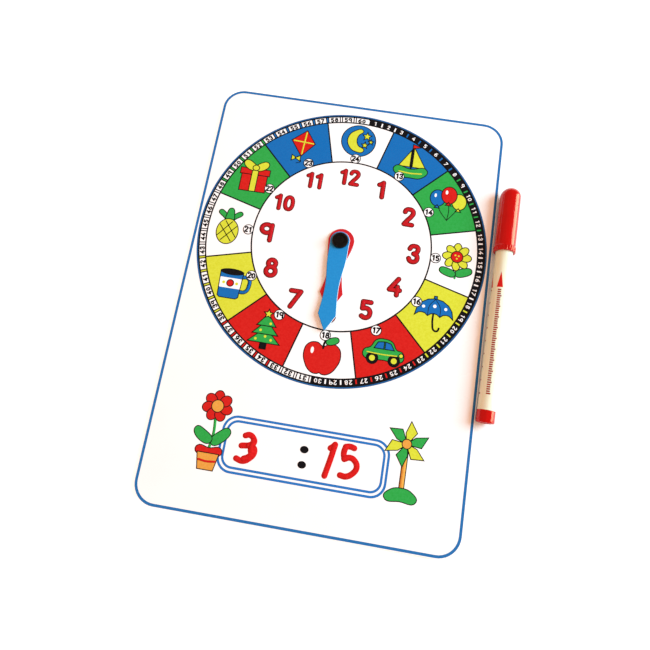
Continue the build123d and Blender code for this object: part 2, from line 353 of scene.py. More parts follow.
def roundFrame(low, high, radius, width):
    # the outline of a round-cornered box, drawn inwards from its two corners
    shape = bmesh.new()
    bmesh.ops.create_grid(shape, x_segments=1, y_segments=1, size=0.5)
    bmesh.ops.scale(shape, verts=shape.verts, vec=(high[0] - low[0], high[1] - low[1], 1))
    bmesh.ops.translate(shape, verts=shape.verts, vec=((low[0] + high[0]) / 2, (low[1] + high[1]) / 2, 0))
    bmesh.ops.bevel(shape, geom=shape.verts[:], offset=radius, affect="VERTICES", segments=cornerSteps,
                    profile=0.5, material=-1, clamp_overlap=False)
    middle = shape.faces[:]
    bmesh.ops.inset_region(shape, faces=middle, thickness=width, use_boundary=True, use_even_offset=True)
    bmesh.ops.delete(shape, geom=middle, context="FACES")
    return shape


def newSheet():
    return {"mesh": bmesh.new(), "inks": []}


def joinTo(sheet, shape, ink, place=Matrix()):
    if ink not in sheet["inks"]:
        sheet["inks"].append(ink)
    for face in shape.faces:
        face.material_index = sheet["inks"].index(ink)
    shape.transform(place)
    part = bpy.data.meshes.new("part")
    shape.to_mesh(part)
    shape.free()
    sheet["mesh"].from_mesh(part)
    bpy.data.meshes.remove(part)


def thicken(shape, rise):
    # gives the faces of an open shape a copy above or below them, and walls between
    copied = bmesh.ops.extrude_face_region(shape, geom=shape.faces[:], use_keep_orig=True)["geom"]
    moved = [part for part in copied if isinstance(part, bmesh.types.BMVert)]
    bmesh.ops.translate(shape, verts=moved, vec=(0, 0, rise))
    bmesh.ops.recalc_face_normals(shape, faces=shape.faces)


def plate(sheet, shape, ink, top, place=Matrix()):
    # a flat shape becomes a print as high as its top, and joins a sheet of prints
    for corner in shape.verts:
        corner.co.z = top
    thicken(shape, -top)
    joinTo(sheet, shape, ink, place)


def finishPiece(name, sheet, body="board", sharp=None):
    # in metres, named, riding on its body; smooth where an angle is given
    bmesh.ops.scale(sheet["mesh"], verts=sheet["mesh"].verts, vec=(mm, mm, mm))
    mesh = bpy.data.meshes.new(name)
    sheet["mesh"].to_mesh(mesh)
    sheet["mesh"].free()
    for ink in sheet["inks"]:
        mesh.materials.append(materials[ink])
    if sharp:
        mesh.shade_smooth()
        mesh.set_sharp_from_angle(angle=radians(sharp))
    piece = bpy.data.objects.new(name, mesh)
    scene.collection.objects.link(piece)
    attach(piece, body)
    return piece


# Board: border line and dial

board = {
    "borderInset": 0.5,
    "borderWidth": 1.55,
    "borderRadius": 12.8,
    "borderInk": "inkBorder",
}
dial = {
    "centre": (0, 36),
    "lineRadius": 54.1,         # the circle round the hour figures
    "bandInner": 81.5,
    "bandOuter": 85.8,
    "ringOuter": 87.15,
    "circles": [(54.1, 0.9), (81.7, 0.85), (85.8, 0.95)],     # radius and width of the black lines
    "sectorLine": 0.85,
    "darkFrom": 3,              # the dark half of the minute band, in degrees
    "darkTo": 183,
    "firstBar": 3,              # the bars stand between the minutes, in mm and degrees
    "darkBar": {"fromInner": 0.7, "fromOuter": 1.0, "turn": 0.6},
    "lightBar": {"edges": 1.44, "core": 0.5},
    "badgeRadius": 57.0,
    "sectors": {                # badge number and ink, clockwise from 12 o'clock
        24: None, 13: "inkBlue", 14: "inkGreen", 15: None, 16: "inkYellow", 17: "inkRed",
        18: None, 19: "inkRed", 20: "inkYellow", 21: None, 22: "inkGreen", 23: "inkBlue",
    },
}
sectorTurn = 30
minuteTurn = 6
heights = {                     # tops of the prints above the face
    "field": 0.010, "band": 0.014, "bar": 0.017, "barCore": 0.020, "line": 0.024, "circle": 0.026,
    "figureEdge": 0.024, "figure": 0.032, "picture": 0.030, "badgeEdge": 0.096, "badge": 0.100,
    "badgeFigure": 0.104, "marker": 0.05, "step": 0.002,
}
onFace = Matrix.Translation((0, 0, faceHeight))
onDial = Matrix.Translation((*dial["centre"], faceHeight))


def sectorInk(angle):
    # the ink under an angle; a boundary belongs to the sector before it
    sectorInks = list(dial["sectors"].values())
    return sectorInks[ceil(angle / sectorTurn - 0.5) % len(sectorInks)]


def dialTurn(angle):
    return onDial @ Matrix.Rotation(-radians(angle), 4, "Z")


def makeBoardLines():
    border = newSheet()
    inset = board["borderInset"]
    low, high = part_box("face_sheet")
    shape = roundFrame((low.x / mm + inset, low.y / mm + inset),
                       (high.x / mm - inset, high.y / mm - inset),
                       board["borderRadius"], board["borderWidth"])
    plate(border, shape, board["borderInk"], heights["line"], onFace)
    finishPiece("border_line", border)


def makeDialFields():
    fields = newSheet()
    for place, ink in enumerate(dial["sectors"].values()):
        if ink:
            wedge = bow(dial["lineRadius"], dial["bandInner"], sectorTurn * (place - 0.5), sectorTurn)
            plate(fields, wedge, ink, heights["field"], onDial)
    finishPiece("dial_fields", fields)


def makeDialLines():
    lines = newSheet()
    inner, outer = dial["bandInner"], dial["bandOuter"]
    dark, light = dial["darkBar"], dial["lightBar"]
    half = bow(inner, outer, dial["darkFrom"], dial["darkTo"] - dial["darkFrom"])
    plate(lines, half, "inkBlack", heights["band"], onDial)
    plate(lines, bow(outer, dial["ringOuter"], 0, 360), "inkRing", heights["line"], onDial)
    for radius, width in dial["circles"]:
        circle = bow(radius - width / 2, radius + width / 2, 0, 360)
        plate(lines, circle, "inkBlack", heights["circle"], onDial)
    for place in range(len(dial["sectors"])):
        edge = stroke([(0, dial["lineRadius"]), (0, inner)], dial["sectorLine"])
        plate(lines, edge, "inkBlack", heights["line"], dialTurn(sectorTurn * (place + 0.5)))
    for angle in range(dial["firstBar"], 360 + dial["firstBar"], minuteTurn):
        ink = sectorInk(angle) or "inkWhite"
        if angle < dial["darkTo"]:
            turn = dark["turn"]
            bar = bow(inner + dark["fromInner"], outer - dark["fromOuter"], angle - turn / 2, turn)
            plate(lines, bar, ink, heights["bar"], onDial)
        else:
            for part, core, height in (("edges", "inkBlack", "bar"), ("core", ink, "barCore")):
                bar = bow(inner, outer, angle - light[part] / 2, light[part])
                plate(lines, bar, core, heights[height], onDial)
    finishPiece("dial_lines", lines)


makeBoardLines()
makeDialFields()
makeDialLines()
print("border and dial printed")


# Figures: rounded strokes on a body ten high

digits = {
    "0": [loop(0, 0, 2.6, 4.6)],
    "1": [[(-1.7, 3.2), (-0.3, 4.0), (0.7, 4.9)], [(0.7, 4.9), (0.7, -4.8)]],
    "2": [[(-2.5, 3.2), (-1.9, 4.6), (-0.1, 5.2), (1.9, 4.5), (2.5, 2.9), (1.7, 0.9), (-0.4, -1.9),
           (-2.3, -4.7)],
          [(-2.3, -4.7), (2.5, -4.8)]],
    "3": [[(-2.5, 3.4), (-1.6, 4.9), (0.1, 5.4), (2.0, 4.8), (2.4, 3.2), (1.7, 1.5), (0.1, 0.5)],
          [(0.1, 0.5), (1.8, -0.2), (2.5, -1.9), (1.9, -3.8), (0.2, -4.6), (-1.7, -4.1), (-2.5, -2.7)]],
    "4": [[(1.6, 5.1), (-3.1, -1.9)], [(-3.1, -1.9), (3.0, -1.8)], [(1.55, 0.2), (1.5, -4.8)]],
    "5": [[(2.2, 4.6), (-2.3, 4.6)], [(-2.3, 4.6), (-2.3, 0.5)],
          [(-2.3, 0.5), (0.2, 0.8), (2.0, -0.4), (2.4, -2.2), (1.7, -4.1), (-0.3, -4.9), (-2.3, -4.1)]],
    "6": [[(1.7, 4.9), (-0.9, 3.1), (-2.5, 0.2), (-2.8, -2.2)], loop(0.1, -2.1, 2.9, 2.7)],
    "7": [[(-2.9, 4.8), (2.8, 4.8)], [(2.8, 4.8), (-2.1, -4.9)]],
    "8": [loop(0.1, 2.7, 2.2, 2.2), loop(0.1, -2.2, 2.8, 2.7)],
    "9": [loop(-0.3, 2.3, 3.0, 2.7), [(2.7, 4.9), (2.6, -4.8)]],
}
hourFigures = {
    "weight": 2.2, "edge": 0.48, "detail": (8, 10),
    "pairSize": 0.88, "pairSteps": (-3.7, 2.8), "elevenSteps": (-2.6, 3.2),
    "places": {             # centre of each figure from the dial's centre
        1: (19.0, 38.6), 2: (37.8, 23.3), 3: (43.7, 0.0), 4: (35.6, -21.7), 5: (21.0, -38.0),
        6: (-0.3, -43.4), 7: (-21.3, -38.4), 8: (-38.8, -21.7), 9: (-45.7, 0.0), 10: (-38.5, 20.8),
        11: (-23.0, 38.3), 12: (-1.5, 43.7),
    },
}
minuteFigures = {
    "radius": 83.6, "wide": 1.15, "step": 9.6, "detail": (3, 4),
    "dark": {"ink": "inkBlack", "size": 0.23, "weight": 3.1},
    "white": {"ink": "inkWhite", "size": 0.22, "weight": 2.1},
}
badges = {"radius": 2.75, "edge": 0.5, "size": 0.3, "weight": 3.2, "step": 7.9, "detail": (3, 4)}


def writeDigit(sheet, digit, weight, ink, top, place, detail):
    # each stroke lies a step above the last, so that no two share a surface
    for number, points in enumerate(digits[digit]):
        plate(sheet, stroke(points, weight, detail), ink, top + number * heights["step"], place)


def makeHourFigures(figures):
    sheet = newSheet()
    weight, detail = figures["weight"], figures["detail"]
    for hour, (x, y) in figures["places"].items():
        size, steps = (1, (0,)) if hour < 10 else (figures["pairSize"], figures["pairSteps"])
        if hour == 11:
            steps = figures["elevenSteps"]
        for digit, step in zip(str(hour), steps):
            place = onDial @ Matrix.Translation((x + step, y, 0)) @ Matrix.Diagonal((size, size, 1, 1))
            edge = weight + 2 * figures["edge"]
            writeDigit(sheet, digit, edge, "inkFigureEdge", heights["figureEdge"], place, detail)
            writeDigit(sheet, digit, weight, "inkFigure", heights["figure"], place, detail)
    finishPiece("hour_figures", sheet)


def makeMinuteFigures(figures):
    sheet = newSheet()
    for minute in range(1, 61):
        angle = minuteTurn * minute
        look = figures["white" if dial["darkFrom"] < angle < dial["darkTo"] else "dark"]
        across, up = figures["wide"] * look["size"], look["size"]
        text = str(minute)
        for number, digit in enumerate(text):
            step = figures["step"] * (number - (len(text) - 1) / 2) * across
            place = (dialTurn(angle) @ Matrix.Translation((step, figures["radius"], 0))
                     @ Matrix.Diagonal((across, up, 1, 1)))
            writeDigit(sheet, digit, look["weight"], look["ink"], heights["figure"], place,
                       figures["detail"])
    finishPiece("minute_figures", sheet)


def makeBadges(look):
    sheet = newSheet()
    size = look["size"]
    for place, number in enumerate(dial["sectors"]):
        turn = radians(sectorTurn * place)
        x, y = dial["badgeRadius"] * sin(turn), dial["badgeRadius"] * cos(turn)
        edge = disc(x, y, look["radius"] + look["edge"])
        plate(sheet, edge, "inkBlack", heights["badgeEdge"], onDial)
        plate(sheet, disc(x, y, look["radius"]), "inkWhite", heights["badge"], onDial)
        for side, digit in zip((-0.5, 0.5), str(number)):
            here = (onDial @ Matrix.Translation((x + side * look["step"] * size, y, 0))
                    @ Matrix.Diagonal((size, size, 1, 1)))
            writeDigit(sheet, digit, look["weight"], "inkBlack", heights["badgeFigure"], here,
                       look["detail"])
    finishPiece("hour_badges", sheet)


makeHourFigures(hourFigures)
makeMinuteFigures(minuteFigures)
makeBadges(badges)
print("figures printed")


# Pictures: plain things that a child can name, in flat colours with a dark edge. A blob is a smooth
# outline and a shape a straight one; a line, dots and a patch have no dark edge.

pictures = {             # clockwise from 12 o'clock, each about the middle of its sector
    "moon": [
        ("disc", "inkBlue", (0, 0), (9.4, 9.4)),
        ("blob", "inkYellow", [(1.6, 6.6), (-3.0, 5.6), (-5.8, 1.6), (-5.0, -3.4), (-1.4, -6.4),
         (3.4, -5.6), (0.0, -3.0), (-1.2, 0.4), (-0.4, 3.8)]),
        ("star", "inkYellow", (4.4, 3.4), 2.0),
        ("star", "inkYellow", (3.8, -2.2), 1.4),
        ("star", "inkYellow", (6.9, 0.2), 1.0),
    ],
    "sailboat": [
        ("line", "inkBlack", [(0, -5), (0, 9.2)], 0.9),
        ("shape", "inkYellow", [(0.9, 8.2), (0.9, -2.8), (7.6, -2.8)]),
        ("shape", "inkYellow", [(-0.9, 6.4), (-0.9, -2.8), (-6.6, -2.8)]),
        ("shape", "inkRed", [(0, 10.6), (0, 8.6), (3.6, 9.6)]),
        ("blob", "inkGreen", [(-9, -4.2), (0, -4.6), (9, -4.2), (6.6, -8.6), (0, -9.4), (-6.6, -8.6)]),
        ("line", "inkYellow", [(-6.2, -6.4), (0, -6.9), (6.2, -6.4)], 0.8),
    ],
    "balloons": [
        ("line", "inkBlack", [(-5.6, -0.6), (-3.4, -4.4), (0.4, -8.8)], 0.4),
        ("line", "inkBlack", [(5.8, -1.4), (3.2, -5.0), (0.4, -8.8)], 0.4),
        ("line", "inkBlack", [(0.4, 1.6), (0.9, -3.4), (0.4, -8.8)], 0.4),
        ("disc", "inkBlue", (-5.8, 3.6), (3.9, 4.6)),
        ("disc", "inkYellow", (6.0, 2.8), (3.7, 4.4)),
        ("disc", "inkRed", (0.3, 6.0), (4.0, 4.8)),
        ("shape", "inkRed", [(0.3, 1.4), (-0.7, 0.2), (1.3, 0.2)]),
        ("shape", "inkBlue", [(-5.7, -0.8), (-6.6, -2.0), (-4.8, -2.0)]),
        ("shape", "inkYellow", [(5.9, -1.4), (5.0, -2.6), (6.8, -2.6)]),
        ("dots", "inkWhite", (0.7, 1.2), [(-1.2, 7.6)]),
        ("dots", "inkWhite", (0.6, 1.1), [(-7.1, 5.0)]),
    ],
    "flower": [
        ("line", "inkGreen", [(0, 0), (0.6, -5), (0, -9.6)], 1.1),
        ("blob", "inkGreen", [(0.2, -7.4), (4.2, -3.8), (8.4, -4.2), (5.4, -7.6)]),
        ("blob", "inkGreen", [(0.0, -7.8), (-4.0, -4.8), (-8.2, -5.4), (-5.0, -8.4)]),
        ("petals", "inkYellow", (0, 2.4), 8, 4.6, (1.9, 2.9)),
        ("disc", "inkRed", (0, 2.4), (2.9, 2.9)),
        ("dots", "inkYellow", (0.5, 0.5), [(-0.9, 3.2), (0.9, 3.0), (0.0, 1.4)]),
    ],
    "umbrella": [
        ("line", "inkBlack", [(0, 6), (0, -6.2), (0.9, -8.2), (2.6, -8.4), (3.4, -6.8)], 1.0),
        ("shape", "inkBlue", [(-0.5, 9.8), (0.5, 9.8), (0.7, 7.6), (-0.7, 7.6)]),
        ("shape", "inkBlue", [(-9.6, -0.6), (-8.9, 2.8), (-7.0, 5.6), (-3.8, 7.7), (0, 8.4), (3.8, 7.7),
         (7.0, 5.6), (8.9, 2.8), (9.6, -0.6), (8.0, 0.7), (6.4, 0.9), (4.6, 0.6), (3.2, -0.6),
         (1.8, 0.5), (0, 0.9), (-1.8, 0.5), (-3.2, -0.6), (-4.6, 0.6), (-6.4, 0.9), (-8.0, 0.7)]),
        ("line", "inkBlack", [(3.2, -0.6), (2.8, 4.4), (0, 8.4)], 0.35),
        ("line", "inkBlack", [(-3.2, -0.6), (-2.8, 4.4), (0, 8.4)], 0.35),
        ("dots", "inkWhite", (0.8, 0.8), [(-5.8, 3.8), (5.8, 3.8)]),
        ("dots", "inkWhite", (0.9, 0.9), [(0, 4.6)]),
    ],
    "car": [
        ("blob", "inkGreen", [(-9.8, -4.4), (-10.2, -1.2), (-7.0, 0.8), (-4.4, 4.8), (0, 5.6),
         (3.6, 4.6), (6.2, 0.9), (9.4, -0.2), (10.2, -3.0), (9.4, -4.6), (0, -4.9)]),
        ("shape", "inkBlue", [(-4.9, 0.8), (-3.4, 3.7), (-0.6, 4.1), (-0.6, 0.8)]),
        ("shape", "inkBlue", [(0.5, 0.8), (0.5, 4.1), (3.0, 3.5), (4.7, 0.8)]),
        ("disc", "inkBlack", (-5.6, -4.8), (2.7, 2.7)),
        ("disc", "inkBlack", (5.6, -4.8), (2.7, 2.7)),
        ("dots", "inkYellow", (1.5, 1.5), [(-5.6, -4.8), (5.6, -4.8)]),
        ("disc", "inkYellow", (8.9, -1.6), (0.9, 0.9)),
        ("line", "inkYellow", [(-8.6, -2.0), (0, -2.3), (6.6, -2.0)], 0.6),
    ],
    "apple": [
        ("blob", "inkRed", [(0, 5.0), (3.6, 6.8), (7.6, 5.6), (9.3, 1.4), (8.0, -4.2), (4.4, -8.4),
         (1.4, -8.9), (0, -8.3), (-1.4, -8.9), (-4.4, -8.4), (-8.0, -4.2), (-9.3, 1.4), (-7.6, 5.6),
         (-3.6, 6.8)]),
        ("line", "inkBlack", [(0, 4.4), (0.2, 7.0), (1.2, 9.4)], 1.1),
        ("blob", "inkGreen", [(1.2, 7.4), (3.4, 9.9), (7.2, 9.8), (4.8, 7.0)]),
        ("dots", "inkWhite", (0.8, 1.7), [(-5.4, 2.6)]),
    ],
    "pine": [
        ("shape", "inkBlack", [(-1.4, -5), (1.4, -5), (1.4, -9.2), (-1.4, -9.2)]),
        ("shape", "inkGreen", [(0, 1.6), (-7.8, -6), (7.8, -6)]),
        ("shape", "inkGreen", [(0, 5.4), (-6.2, -1.4), (6.2, -1.4)]),
        ("shape", "inkGreen", [(0, 9.0), (-4.6, 3.0), (4.6, 3.0)]),
        ("star", "inkYellow", (0, 9.2), 1.9),
        ("dots", "inkYellow", (0.7, 0.7), [(-2.6, 0.2), (2.0, 4.2), (3.6, -4.4), (-4.4, -4.6),
         (0.4, -2.8)]),
    ],
    "mug": [
        ("line", "inkBlack", [(4.6, 3.8), (8.6, 3.6), (9.4, -0.6), (8.0, -3.8), (4.2, -4.4)], 2.2),
        ("line", "inkBlue", [(4.6, 3.8), (8.6, 3.6), (9.4, -0.6), (8.0, -3.8), (4.2, -4.4)], 1.5),
        ("shape", "inkBlue", [(-6.6, 6), (5.2, 6), (4.6, -7.4), (3.6, -8.2), (-5.0, -8.2),
         (-6.0, -7.4)]),
        ("disc", "inkBlack", (-0.7, 6), (5.9, 1.3)),
        ("patch", "inkWhite", [(-6.45, 2.6), (5.05, 2.6), (4.85, -3.0), (-6.2, -3.0)]),
        ("disc", "inkRed", (-0.7, -0.2), (1.6, 1.6)),
        ("dots", "inkYellow", (0.8, 0.8), [(-4.2, -0.2), (2.8, -0.2)]),
    ],
    "pineapple": [
        ("blob", "inkGreen", [(-0.6, 3.6), (-3.4, 5.2), (-6.2, 8.6), (-2.6, 7.4), (-1.4, 4.4)]),
        ("blob", "inkGreen", [(0.6, 3.6), (3.4, 5.2), (6.2, 8.6), (2.6, 7.4), (1.4, 4.4)]),
        ("blob", "inkGreen", [(-1.5, 3.4), (-1.9, 7.0), (0, 10.6), (1.9, 7.0), (1.5, 3.4)]),
        ("disc", "inkYellow", (0, -2.8), (5.7, 7.0)),
        ("line", "inkBlack", [(-4.9, -5.6), (1.8, 3.0)], 0.5),
        ("line", "inkBlack", [(-2.8, -8.2), (4.6, 0.6)], 0.5),
        ("line", "inkBlack", [(4.9, -5.6), (-1.8, 3.0)], 0.5),
        ("line", "inkBlack", [(2.8, -8.2), (-4.6, 0.6)], 0.5),
    ],
    "gift": [
        ("shape", "inkRed", [(-7, -8.4), (7, -8.4), (7, 1.6), (-7, 1.6)]),
        ("shape", "inkRed", [(-8, 1.6), (8, 1.6), (8, 4.8), (-8, 4.8)]),
        ("shape", "inkYellow", [(-1.5, -8.4), (1.5, -8.4), (1.5, 4.8), (-1.5, 4.8)]),
        ("blob", "inkYellow", [(0, 5), (-2.4, 8.6), (-6.4, 9.2), (-6.0, 6.2)]),
        ("blob", "inkYellow", [(0, 5), (2.4, 8.6), (6.4, 9.2), (6.0, 6.2)]),
        ("disc", "inkYellow", (0, 5.6), (1.6, 1.4)),
    ],
    "kite": [
        ("line", "inkBlack", [(0.6, -5.4), (-1.8, -7.4), (1.0, -9.0), (-1.4, -10.6)], 0.4),
        ("shape", "inkRed", [(1.6, 9.8), (7.0, 2.4), (0.6, -5.6), (-5.8, 3.2)]),
        ("line", "inkYellow", [(1.5, 8.8), (0.7, -4.6)], 0.8),
        ("line", "inkYellow", [(-4.8, 3.1), (6.2, 2.5)], 0.8),
        ("shape", "inkYellow", [(-2.0, -7.5), (-4.2, -6.2), (-4.2, -8.8)]),
        ("shape", "inkYellow", [(-2.0, -7.5), (0.2, -6.2), (0.2, -8.8)]),
    ],
}
sidePictures = {
    "plant": {"centre": (-53, -84.5), "forms": [
        ("line", "inkGreen", [(0, 8), (0.8, -2), (0, -9)], 1.6),
        ("blob", "inkGreen", [(0.6, -7.0), (4.4, 0.2), (9.4, 1.8), (7.4, -4.4)]),
        ("blob", "inkGreen", [(0.2, -6.0), (-4.6, -0.4), (-9.6, 0.4), (-7.0, -5.4)]),
        ("petals", "inkRed", (0, 13.6), 7, 5.2, (2.7, 3.3)),
        ("disc", "inkOrange", (0, 13.6), (3.2, 3.2)),
        ("blob", "inkRed", [(-6.6, -9.4), (0, -9.8), (6.6, -9.4), (6.8, -12.4), (0, -12.9),
         (-6.8, -12.4)]),
        ("shape", "inkOrange", [(-5.8, -12.6), (5.8, -12.6), (4.2, -21.2), (-4.2, -21.2)]),
        ("line", "inkRed", [(-4.6, -16.4), (0, -16.9), (4.6, -16.4)], 1.2),
    ]},
    "windmill": {"centre": (54.5, -83), "forms": [
        ("line", "inkBlack", [(0, 8), (0, -18)], 3.2),
        ("line", "inkOrange", [(0, 8), (0, -18)], 2.2),
        ("blob", "inkGreen", [(-8.6, -20.4), (-6.0, -16.4), (0, -14.8), (6.0, -16.4), (8.6, -20.4),
         (0, -21.4)]),
        ("vanes", ("inkYellow", "inkGreen"), (0, 9), 6, 12.0),
        ("disc", "inkOrange", (0, 9), (2.4, 2.4)),
    ]},
}
pictureEdge = 0.5
pictureRadius = 69.5
pictureSize = 1.12
starTips = 5
starWaist = 0.45         # a star's inner radius, and a vane's corners, as shares of the reach
vaneCorners = [(0, 0), (0.4, 0.55), (0.1, 1), (-0.08, 0.5)]


def starPoints(x, y, radius):
    turns = [radians(90 + 180 * point / starTips) for point in range(2 * starTips)]
    reaches = [radius, radius * starWaist] * starTips
    return [(x + reach * cos(turn), y + reach * sin(turn)) for turn, reach in zip(turns, reaches)]


def spokes(place, x, y, count):
    hub = place @ Matrix.Translation((x, y, 0))
    return [hub @ Matrix.Rotation(2 * pi * number / count, 4, "Z") for number in range(count)]


def drawPicture(name, centre, forms, size=1.0):
    sheet = newSheet()
    place = Matrix.Translation((*centre, faceHeight)) @ Matrix.Diagonal((size, size, 1, 1))
    height = heights["picture"]

    def draw(make, ink, here=place, edged=True):
        # a form lies over its dark edge, and both lie over all that came before
        nonlocal height
        if edged:
            plate(sheet, make(pictureEdge), "inkBlack", height, here)
            height += heights["step"]
        plate(sheet, make(0), ink, height, here)
        height += heights["step"]

    for form, ink, *values in forms:
        if form == "line":
            draw(lambda grow: stroke(*values), ink, edged=False)
        elif form == "dots":
            for x, y in values[1]:
                draw(lambda grow: disc(x, y, *values[0]), ink, edged=False)
        elif form == "disc":
            (x, y), (across, up) = values
            draw(lambda grow: disc(x, y, across + grow, up + grow), ink)
        elif form == "star":
            points = starPoints(*values[0], values[1])
            draw(lambda grow: outline(points, False, grow), ink)
        elif form == "petals":
            hub, count, away, (across, up) = values
            for here in spokes(place, *hub, count):
                draw(lambda grow: disc(0, away, across + grow, up + grow), ink, here)
        elif form == "vanes":
            hub, count, reach = values
            vane = [(x * reach, y * reach) for x, y in vaneCorners]
            for number, here in enumerate(spokes(place, *hub, count)):
                draw(lambda grow: outline(vane, False, grow), ink[number % 2], here)
        else:
            draw(lambda grow: outline(values[0], form == "blob", grow), ink, edged=form != "patch")
    finishPiece("picture_" + name, sheet)


for number, (name, forms) in enumerate(pictures.items()):
    angle = radians(sectorTurn * number)
    x, y = pictureRadius * sin(angle), pictureRadius * cos(angle)
    drawPicture(name, (x + dial["centre"][0], y + dial["centre"][1]), forms, pictureSize)
for name, picture in sidePictures.items():
    drawPicture(name, picture["centre"], picture["forms"])
print("pictures printed:", len(pictures) + len(sidePictures))


# Time box and what is written in it

timeBox = {
    "frames": [      # low corner, high corner, corner radius, line width
        ((-47.95, -105.65), (46.35, -74.05), 8.55, 1.35),
        ((-45.55, -103.15), (43.95, -76.55), 6.55, 1.35),
    ],
    "dots": [(-0.8, -86.3), (-0.8, -94.5)],
    "dotSize": (2.4, 2.0),
}
writing = {
    "width": 3.3,
    "detail": (8, 10),
    "strokes": [
        [(-34.3, -84.2), (-32.2, -83.5), (-29.7, -84.9), (-28.9, -87.2), (-30.8, -88.8), (-35.5, -89.9)],
        [(-31.5, -89.2), (-28.6, -90.0), (-27.8, -92.4), (-29.8, -95.9), (-33.3, -97.9), (-37.1, -97.1)],
        [(-29.3, -86.4), (-29.7, -89.0), (-30.0, -91.3), (-29.4, -93.4), (-30.5, -95.2), (-33.0, -96.6)],
        [(13.3, -83.1), (14.4, -82.2), (15.6, -80.8)],
        [(15.6, -80.8), (14.2, -89.0), (12.4, -98.1)],
        [(26.3, -81.0), (24.0, -80.5), (21.6, -80.9)],
        [(21.6, -80.9), (21.0, -84.4), (21.7, -87.6)],
        [(21.7, -87.6), (24.6, -86.4), (27.6, -87.7), (29.1, -90.9), (27.4, -94.4), (23.9, -96.6),
         (20.7, -96.4)],
    ],
}


def makeTimeBox(look):
    sheet = newSheet()
    for low, high, radius, width in look["frames"]:
        plate(sheet, roundFrame(low, high, radius, width), "inkBox", heights["line"], onFace)
    for x, y in look["dots"]:
        plate(sheet, disc(x, y, *look["dotSize"]), "inkBlack", heights["line"], onFace)
    finishPiece("time_box", sheet)


def makeWriting(look):
    sheet = newSheet()
    for number, points in enumerate(look["strokes"]):
        top = heights["marker"] + number * heights["step"]
        plate(sheet, stroke(points, look["width"], look["detail"]), "markerRed", top, onFace)
    finishPiece("marker_writing", sheet, "board")


makeTimeBox(timeBox)
makeWriting(writing)
print("time box ready")


# Hands: their printed fronts, drawn in from the CAD hands' own front faces

pivot = Vector([value / mm for value in joints["hour_turn"]["pos_m"][:2]])
handPrint = {
    "rise": 0.02,
    "facing": 0.3,           # how far up a printed face looks at least
    "bareBelow": 0.14,       # the lower half of the bevel stays white where it faces the key light past the side limit: partly the real white plastic, partly a painted highlight, as the other side is printed
}
hands = {             # open is the radius that stays bare round the rivet
    "hour_hand": {"ink": "hourRed", "slot": "hour_print", "open": 5.5, "paintedHighlightSide": 2.0},
    "minute_hand": {"ink": "minuteBlue", "slot": "minute_print", "open": 4.9, "paintedHighlightSide": 0.3},
}


def makeHandPrint(node, look):
    shape = bmesh.new()
    shape.from_mesh(frame["nodes"][node].data)
    bmesh.ops.scale(shape, verts=shape.verts, vec=(1 / mm, 1 / mm, 1 / mm))
    bmesh.ops.remove_doubles(shape, verts=shape.verts, dist=mergeDistance)
    bmesh.ops.subdivide_edges(shape, edges=shape.edges[:], cuts=1, use_grid_fill=True)
    shape.normal_update()
    edge = max(corner.co.z for corner in shape.verts) - handPrint["bareBelow"]
    # white plastic stays bare on steep sides, and on the bevel facing the key light as a painted
    # highlight
    bare = [face for face in shape.faces if face.normal.z < handPrint["facing"]
            or (face.normal.x > look["paintedHighlightSide"] and face.calc_center_median().z < edge)]
    bmesh.ops.delete(shape, geom=bare, context="FACES")
    for corner in shape.verts:
        away = corner.co.xy - pivot
        if away.length < look["open"]:
            corner.co.xy = pivot + away.normalized() * look["open"]
    thicken(shape, handPrint["rise"])
    sheet = newSheet()
    joinTo(sheet, shape, look["ink"])
    finishPiece(node + "_print", sheet, node)


for node, look in hands.items():
    makeHandPrint(node, look)
print("hands printed")


# Turned pieces: the rivet's head, and the pen's plug, nib and cap

barrel = {"end": (94.95, -55.8, 5.039), "radius": 4.9}
roundSteps = {"edge": 8, "lip": 3, "tip": 6, "dome": 14}
sharpAngle = 32
penAlong = Vector(joints["cap_pull"]["axis"]).normalized()
penAcross = penAlong.cross(Vector((0, 0, 1))).normalized()
penTurn = Matrix((penAcross, penAcross.cross(penAlong), penAlong)).transposed().to_4x4()
penPlace = Matrix.Translation(barrel["end"]) @ penTurn


def arcPoints(x, y, radius, start, end, steps):
    turns = [radians(start + (end - start) * step / steps) for step in range(steps + 1)]
    return [(x + radius * cos(turn), y + radius * sin(turn)) for turn in turns]


def turned(profile, steps):
    # spins a profile of (radius, height) once round the Z axis, on which it starts and ends
    shape = bmesh.new()
    corners = [shape.verts.new((radius, 0, height)) for radius, height in profile]
    edges = [shape.edges.new(pair) for pair in zip(corners, corners[1:])]
    bmesh.ops.spin(shape, geom=corners + edges, axis=(0, 0, 1), cent=(0, 0, 0), angle=2 * pi, steps=steps,
                   use_merge=True)
    bmesh.ops.remove_doubles(shape, verts=shape.verts, dist=mergeDistance)
    bmesh.ops.recalc_face_normals(shape, faces=shape.faces)
    return shape


def turnedPiece(name, shape, ink, place, body, node):
    sheet = newSheet()
    joinTo(sheet, shape, ink, place)
    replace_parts(finishPiece(name, sheet, body, sharpAngle), node)


rivet = {
    "low": 1.4, "barrel": 3.0, "bore": 1.55, "boreTop": 6.2,
    "groove": 1.95, "grooveLow": 3.9, "grooveHigh": 5.4, "lead": 0.4,
    "headLow": 5.6, "headTop": 7.6, "headRadius": 5.0, "crown": 1.45,
    "recessRadius": 3.0, "recessDepth": 0.5, "lip": 0.15, "sides": 64,
}


